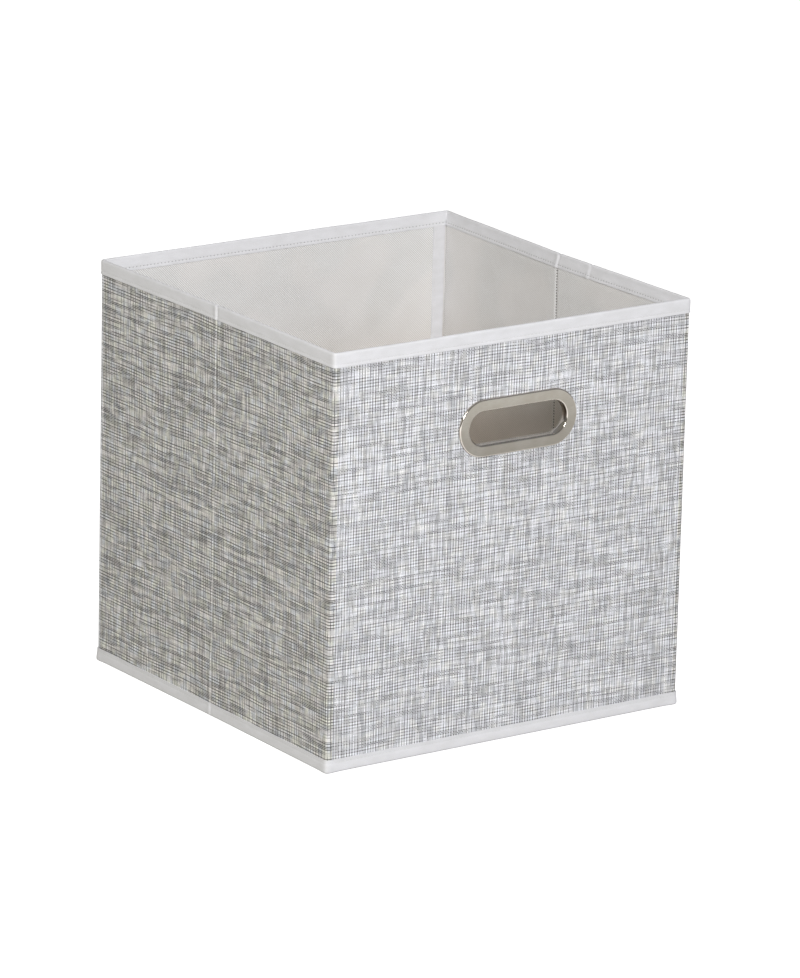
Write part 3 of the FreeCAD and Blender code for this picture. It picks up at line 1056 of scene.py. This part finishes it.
def plate_sheet(name, corner, radius, insets, height, thickness):
    """A flat cloth round the origin, out to corner. height(i, x, y) gives ring i's z."""
    rings = [rounded_ring(corner.x - d, corner.y - d, max(radius - d, 0.3 * MM)) for d in insets]
    count = len(rings[0])
    uvs = [spot for ring in rings for spot in ring]
    vertices = [(x, y, height(i, x, y)) for i, ring in enumerate(rings) for x, y in ring]
    faces = []
    for i in range(len(rings) - 1):
        for k in range(count):
            a, b = i * count + k, i * count + (k + 1) % count
            faces.append((a, b, b + count, a + count))
    last = (len(rings) - 1) * count
    faces.append(tuple(last + k for k in range(count)))
    obj = new_object(name, vertices, faces, uvs)
    if obj.data.polygons[-1].normal.z < 0:
        obj.data.flip_normals()
    solid = obj.modifiers.new("thickness", "SOLIDIFY")
    solid.thickness = thickness
    solid.offset = -1
    applied(obj)
    return obj


def build_base(base_cloth):
    low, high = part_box("base_panel")

    def height(i, x, y):
        return high.z - 0.05 * MM + 0.04 * MM * hills(x, y, 0.05, 50.0)
    obj = plate_sheet("base_cloth_panel", high, 3 * MM, INSETS, height, (high.z - low.z) * 0.85)
    dress(obj, base_cloth, "base_panel")
    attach(obj, "front")
    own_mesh(obj)


def build_insert(top_cloth, under_cloth, board):
    low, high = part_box("insert_cover_top")
    # the turned-down edge as (inset, z), from its foot to where it meets the top
    skirt = [(0.0, low.z), (0.0, low.z + 1.0 * MM), (0.0, high.z - 0.9 * MM), (0.12 * MM, high.z - 0.45 * MM),
             (0.45 * MM, high.z - 0.12 * MM), (0.95 * MM, high.z)]
    insets = [d for d, z in skirt] + [d for d in INSETS if d > 1.2 * MM]

    def height(i, x, y):
        if i < len(skirt):
            return skirt[i][1]
        return high.z - 0.12 * MM + 0.12 * MM * hills(x, y, 0.04, 51.0)
    obj = plate_sheet("insert_top_cloth", high, 4 * MM, insets, height, 0.75 * MM)
    dress(obj, top_cloth, "insert_cover_top")
    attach(obj, "insert")

    low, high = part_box("insert_cover_bottom")
    obj = plate_sheet("insert_under_cloth", high, 4 * MM, INSETS, lambda *spot: high.z - 0.02 * MM,
                      0.45 * MM)
    dress(obj, under_cloth, "insert_cover_bottom")
    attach(obj, "insert")

    node = frame["nodes"]["insert_board"]
    node.data.materials.clear()
    node.data.materials.append(board)


# ---- camera, light and floor
CAMERA_AZIMUTH = -35.02
CAMERA_ELEVATION = 16.30
CAMERA_ROLL = 1.37
CAMERA_DISTANCE = 4.4736
CAMERA_ASIDE = (0.0113, 0.1386)     # along the view's right and up
LENS = 228.9
SENSOR = 36
KEY_SPOT = (-1.60, -2.56, 1.66)     # the softbox, above and in front of the left front corner
KEY_TARGET = (0, 0, 0.15)
KEY_SIZE = 0.9
KEY_POWER = 95
FLOOR_HALF = 30.0
FLOOR_Z = -0.3 * MM                 # just under the bin, so that the two faces never meet


def add_camera():
    azimuth, elevation, roll = (math.radians(a) for a in (CAMERA_AZIMUTH, CAMERA_ELEVATION, CAMERA_ROLL))
    flat = math.cos(elevation)
    back = Vector((math.sin(azimuth) * flat, -math.cos(azimuth) * flat, math.sin(elevation)))
    painted_reflection_dim = Vector((0, 0, 1)).cross(back).normalized()
    upright = back.cross(painted_reflection_dim)
    right = painted_reflection_dim * math.cos(roll) + upright * math.sin(roll)
    up = upright * math.cos(roll) - painted_reflection_dim * math.sin(roll)
    data = bpy.data.cameras.new("camera")
    data.sensor_width = SENSOR
    data.lens = LENS
    data.clip_end = 100
    camera = bpy.data.objects.new("camera", data)
    spot = back * CAMERA_DISTANCE + right * CAMERA_ASIDE[0] + up * CAMERA_ASIDE[1]
    camera.matrix_world = Matrix.Translation(spot) @ Matrix((right, up, back)).transposed().to_4x4()
    bpy.context.scene.collection.objects.link(camera)
    bpy.context.scene.camera = camera


def add_softbox():
    data = bpy.data.lights.new("key", "AREA")
    data.shape = "SQUARE"
    data.size = KEY_SIZE
    data.energy = KEY_POWER
    data.color = (0.99, 0.99, 1.0)
    light = bpy.data.objects.new("key", data)
    light.location = KEY_SPOT
    light.rotation_mode = "QUATERNION"
    light.rotation_quaternion = (Vector(KEY_TARGET) - Vector(KEY_SPOT)).to_track_quat("-Z", "Y")
    bpy.context.scene.collection.objects.link(light)


def add_sky():
    """A studio all round: bright overhead, softer at eye level, bright below, warm left and cool right."""
    world = bpy.data.worlds.new("studio")
    bpy.context.scene.world = world
    n = Nodes(world, "ShaderNodeOutputWorld")
    x, y, height = n.split(n.node("ShaderNodeTexCoord", {}, "Generated"))
    ceiling = n.ramp(height, 0.16, 0.42, 0.0, 0.37)
    below = n.ramp(height, -0.22, -0.02, 0.47, 0.0)
    middle = n.ramp(height, -0.10, 0.0) * n.ramp(height, 0.16, 0.42, 0.28, 0.0)
    color = n.blend(n.ramp(x, -0.8, 0.8), (0.97, 0.935, 0.82), (0.97, 0.985, 1.05))
    n.finish(n.node("ShaderNodeBackground", {0: color, 1: ceiling + below + middle}))


def add_studio():
    n = new_material("studio_floor")
    grain = n.noise(n.object_place(), scale=3.0, detail=2.0)
    color = n.blend(grain, (0.80, 0.80, 0.80), (0.82, 0.82, 0.82))
    material = n.shader(color, Roughness=0.9, Emission_Color=(1.0, 1.0, 1.0), Emission_Strength=0.85)
    mesh = bpy.data.meshes.new("floor")
    corners = [(sx * FLOOR_HALF, sy * FLOOR_HALF, 0) for sx, sy in ((-1, -1), (1, -1), (1, 1), (-1, 1))]
    mesh.from_pydata(corners, [], [(0, 1, 2, 3)])
    mesh.materials.append(material)
    floor = bpy.data.objects.new("floor", mesh)
    floor.location.z = FLOOR_Z
    bpy.context.scene.collection.objects.link(floor)
    floor.visible_diffuse = False
    add_sky()
    add_softbox()
    bpy.context.scene.view_settings.view_transform = "Standard"


def fold_line(side, columns):
    """The distance along the cloth at which a side wall's visible fold line runs."""
    first = columns[0]
    return first[4] - side * (FOLD_Y[side] - first[1])


def main():
    columns = stations(5 * MM)
    right_fold, left_fold = fold_line(1, columns["right_back"]), fold_line(-1, columns["left_back"])
    end_weave = heathered_weave("end_weave", END_DARK, END_PALE, END_TINTS)
    weaves = {
        "front": end_weave,
        "back": end_weave,
        # The side walls get the painted-shade copy of the weave.
        "right": heathered_weave("right_shaded_weave", SHADED_SIDE_DARK, SHADED_SIDE_PALE, SHADED_SIDE_TINTS, right_fold),
        "left": heathered_weave("left_shaded_weave", SHADED_SIDE_DARK, SHADED_SIDE_PALE, SHADED_SIDE_TINTS, left_fold),
    }
    # The lining's last colour is a painted shade for its lower part, deep in the bin.
    lining_cloth = nonwoven("warm_nonwoven", (0.875, 0.88, 0.885), (0.595, 0.58, 0.56), 1.75 * MM,
                            (right_fold, left_fold), (0.86, 0.785, 0.70))
    base_cloth = nonwoven("grey_nonwoven", (0.62, 0.62, 0.61), (0.46, 0.46, 0.45), 1.3 * MM)
    insert_cloth = nonwoven("insert_nonwoven", (0.58, 0.52, 0.44), (0.40, 0.35, 0.29), 1.75 * MM)
    tape, thread, board = tape_cloth(), thread_cotton(), chipboard()
    satin = nickel("satin_nickel", (0.37, 0.35, 0.31), (0.32, 0.297, 0.258), 0.30, 0.5)
    polish = nickel("bright_nickel", (0.62, 0.58, 0.53), (0.55, 0.51, 0.46), 0.08, 0.1)
    build_walls(weaves, lining_cloth, board)
    build_tapes(tape, thread)
    build_crease_stitches(thread)
    build_seam_tape(tape, thread)
    build_base(base_cloth)
    build_insert(insert_cloth, base_cloth, board)
    build_handle(satin, polish)
    add_camera()
    add_studio()


main()
